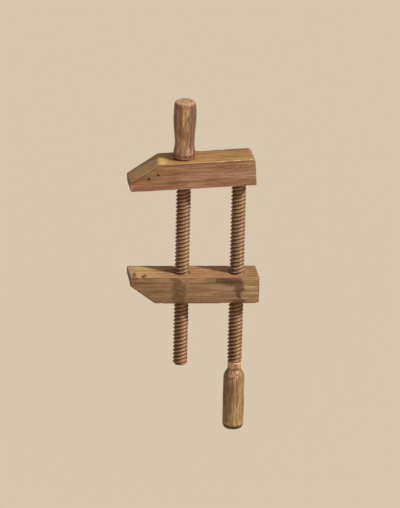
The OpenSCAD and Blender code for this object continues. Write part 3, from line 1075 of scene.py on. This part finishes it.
def end_handle():
    axis_x = named(frame["joints"], "end_screw_turn")["pos_m"][0] / MM
    cuts = [(NECK_LINE, 0.7, 0.18), (LOW_LINE, 0.5, 0.22)]
    lumps = [((axis_x + 13, -4, -160), (9, 12, 15), 0.3), ((axis_x - 12, -6, -185), (10, 11, 15), 0.25)]
    mesh, points, wood, across, along, r, length = handle(
        "end_handle", axis_x, 83, cuts, lumps, end_flat=11.0, end_drop=2.0
    )
    cloud = noise(wood, (40, 6, 6), 95)
    marks = []
    for mark_across, mark_along, wide, high in HANDLE_MARKS:
        away = np.hypot((across - mark_across) / wide, (along - mark_along) / high)
        marks.append((1 - ramp(away, 0.6, 1.1)) * (points[:, 1] < 0))
    tint = coloured("A5855F", [
        ("9C784A", ramp(cloud, 0.05, 0.5) * 0.6),
        ("BC9E70", ramp(-cloud, 0.1, 0.6) * 0.4),
        # Duller sides, and painted shade on the left side and along its edge
        ("8A6C44", ramp(-across + 3 * cloud, 5, 11) * 0.7),
        ("A4865A", ramp(across, 3, 10) * 0.6),
        ("644632", ramp(-across, 8.5, 12.0) * ramp(along, 14, 22) * 0.6),
        # Reddish wood down the middle, pale on the shoulder, and a paler lower part
        ("B88E70", spot(points, (axis_x, -13, -155), (7, 9, 18)) * 0.6),
        ("B28A6C", spot(points, (axis_x + 0.5, -13, -178), (5, 9, 22)) * 0.4),
        ("C8A080", spot(points, (axis_x + 1, -12, -135.5), (10, 10, 10)) * 0.7),
        ("BE9E70", ramp(along, length - 34, length - 14) * 0.4),
        # The light neck with its paler lip, and the dark far end with a pale line above it
        ("D6B08C", ramp(along, 9.5, 6.0) * 0.8),
        ("E6C49C", ramp(along, 1.8, 0.8) * 0.9),
        ("D0AC7E", hump(along, length - 7.6, 1.2) * 0.65),
        ("3E2614", ramp(along, length - 5.8, length - 4.4) * 0.85),
        *(("5A3420", mark * 0.8) for mark in marks),
    ])
    dirt_and_shade = 0.12 * hump(along, NECK_LINE, 0.9) + 0.2 * hump(along, LOW_LINE, 0.6)
    dirt_and_shade += 0.35 * sum(marks) + 0.5 * ramp(BORE_LIMIT - r, 0, 1)
    edge = np.where(along < 3, np.hypot(along, np.maximum(8.5 - r, 0)), FAR)
    finish_piece("end_handle", "end_screw", mesh, points, END_LOOK, wood, tint, edge, dirt_and_shade)


upper_jaw()
lower_jaw()
screw("middle_screw", "middle_handle", "middle_screw_turn", False, "886C56", seed=21, wood_shift=2.0)
screw("end_screw", "end_handle", "end_screw_turn", True, "846F55", seed=29, wood_shift=-4.0)
middle_handle()
end_handle()


# Floor, light and world

PAPER = "DFD0BA"
FLOOR_DROP = 0.35
FLOOR_HALF = 12.0
LAMP_COLOUR = (1.0, 0.97, 0.92)
KEY = {"azimuth": 62, "elevation": 44, "strength": 3.2, "angle": 4}
FRONT_FILL = {"azimuth": 5, "elevation": 15, "strength": 0.7, "angle": 50}
FILL = 0.16
FILL_COLOUR = (1.0, 0.98, 0.95, 1.0)


def floor():
    """A sheet of paper well below the clamp, which can't be seen from its underside."""
    low = cad_low.z - FLOOR_DROP
    corners = [(x * FLOOR_HALF, y * FLOOR_HALF, low) for x, y in ((-1, -1), (1, -1), (1, 1), (-1, 1))]
    mesh = bpy.data.meshes.new("floor")
    mesh.from_pydata(corners, [], [(0, 1, 2, 3)])
    material = bpy.data.materials.new("paper")
    material.use_nodes = True
    tree = material.node_tree
    tree.nodes.clear()
    matt = {"Base Color": rgba(PAPER), "Roughness": 1.0, "Specular IOR Level": 0.0}
    shader = add(tree, "ShaderNodeBsdfPrincipled", matt)
    clear = add(tree, "ShaderNodeBsdfTransparent")
    below = add(tree, "ShaderNodeNewGeometry").outputs["Backfacing"]
    either = add(tree, "ShaderNodeMixShader", {0: below, 1: shader.outputs[0], 2: clear.outputs[0]})
    add(tree, "ShaderNodeOutputMaterial", {"Surface": either.outputs[0]})
    mesh.materials.append(material)
    made = new_object("floor", mesh)


def direction(azimuth, elevation):
    """The way from the object to a viewer or lamp. Azimuth 0 is in front, and grows to the right."""
    a, e = math.radians(azimuth), math.radians(elevation)
    return Vector((math.sin(a) * math.cos(e), -math.cos(a) * math.cos(e), math.sin(e)))


def sun(name, azimuth, elevation, strength, angle):
    lamp = bpy.data.lights.new(name, "SUN")
    lamp.energy = strength
    lamp.angle = math.radians(angle)
    lamp.color = LAMP_COLOUR
    made = new_object(name, lamp)
    made.rotation_euler = direction(azimuth, elevation).to_track_quat("Z", "Y").to_euler()


def world():
    """An even fill, in which the camera and reflections see the paper's colour."""
    made = bpy.data.worlds.new("studio")
    made.use_nodes = True
    scene.world = made
    tree = made.node_tree
    tree.nodes.clear()
    path = add(tree, "ShaderNodeLightPath")
    seen = plus(tree, path.outputs["Is Camera Ray"], path.outputs["Is Glossy Ray"])
    seen = plus(tree, seen, path.outputs["Is Transmission Ray"])
    fill = add(tree, "ShaderNodeBackground", {"Color": FILL_COLOUR, "Strength": FILL})
    paper = add(tree, "ShaderNodeBackground", {"Color": rgba(PAPER), "Strength": 1.0})
    both = add(tree, "ShaderNodeMixShader", {0: seen, 1: fill.outputs[0], 2: paper.outputs[0]})
    add(tree, "ShaderNodeOutputWorld", {"Surface": both.outputs[0]})


# Camera

CAMERA_AZIMUTH = -3.5
CAMERA_ELEVATION = 23.6
CAMERA_ROLL = 1.3
CAMERA_DISTANCE = 6.0
PIXELS_PER_METRE = 808.6
IMAGE_LONG_SIDE = 508
AIM = Vector((0.013, 0, 0.008))
AIM_RIGHT = 0.0090
AIM_UP = 0.0147
NEAREST = 0.05
FARTHEST = 60.0


def camera():
    """A long lens, aimed so that the clamp lies in the frame as it does in the picture."""
    back = direction(CAMERA_AZIMUTH, CAMERA_ELEVATION)
    right = Vector((0, 0, 1)).cross(back).normalized()
    up = back.cross(right)
    aim = AIM + right * AIM_RIGHT + up * AIM_UP
    roll = Matrix.Rotation(math.radians(CAMERA_ROLL), 3, "Z")
    place = (Matrix((right, up, back)).transposed() @ roll).to_4x4()
    place.translation = aim + back * CAMERA_DISTANCE
    lens = bpy.data.cameras.new("camera")
    lens.lens = lens.sensor_width * PIXELS_PER_METRE * CAMERA_DISTANCE / IMAGE_LONG_SIDE
    lens.clip_start, lens.clip_end = NEAREST, FARTHEST
    scene.camera = new_object("camera", lens)
    scene.camera.matrix_world = place


floor()
sun("key", **KEY)
sun("front_fill", **FRONT_FILL)
world()
camera()
scene.view_settings.view_transform = "Standard"
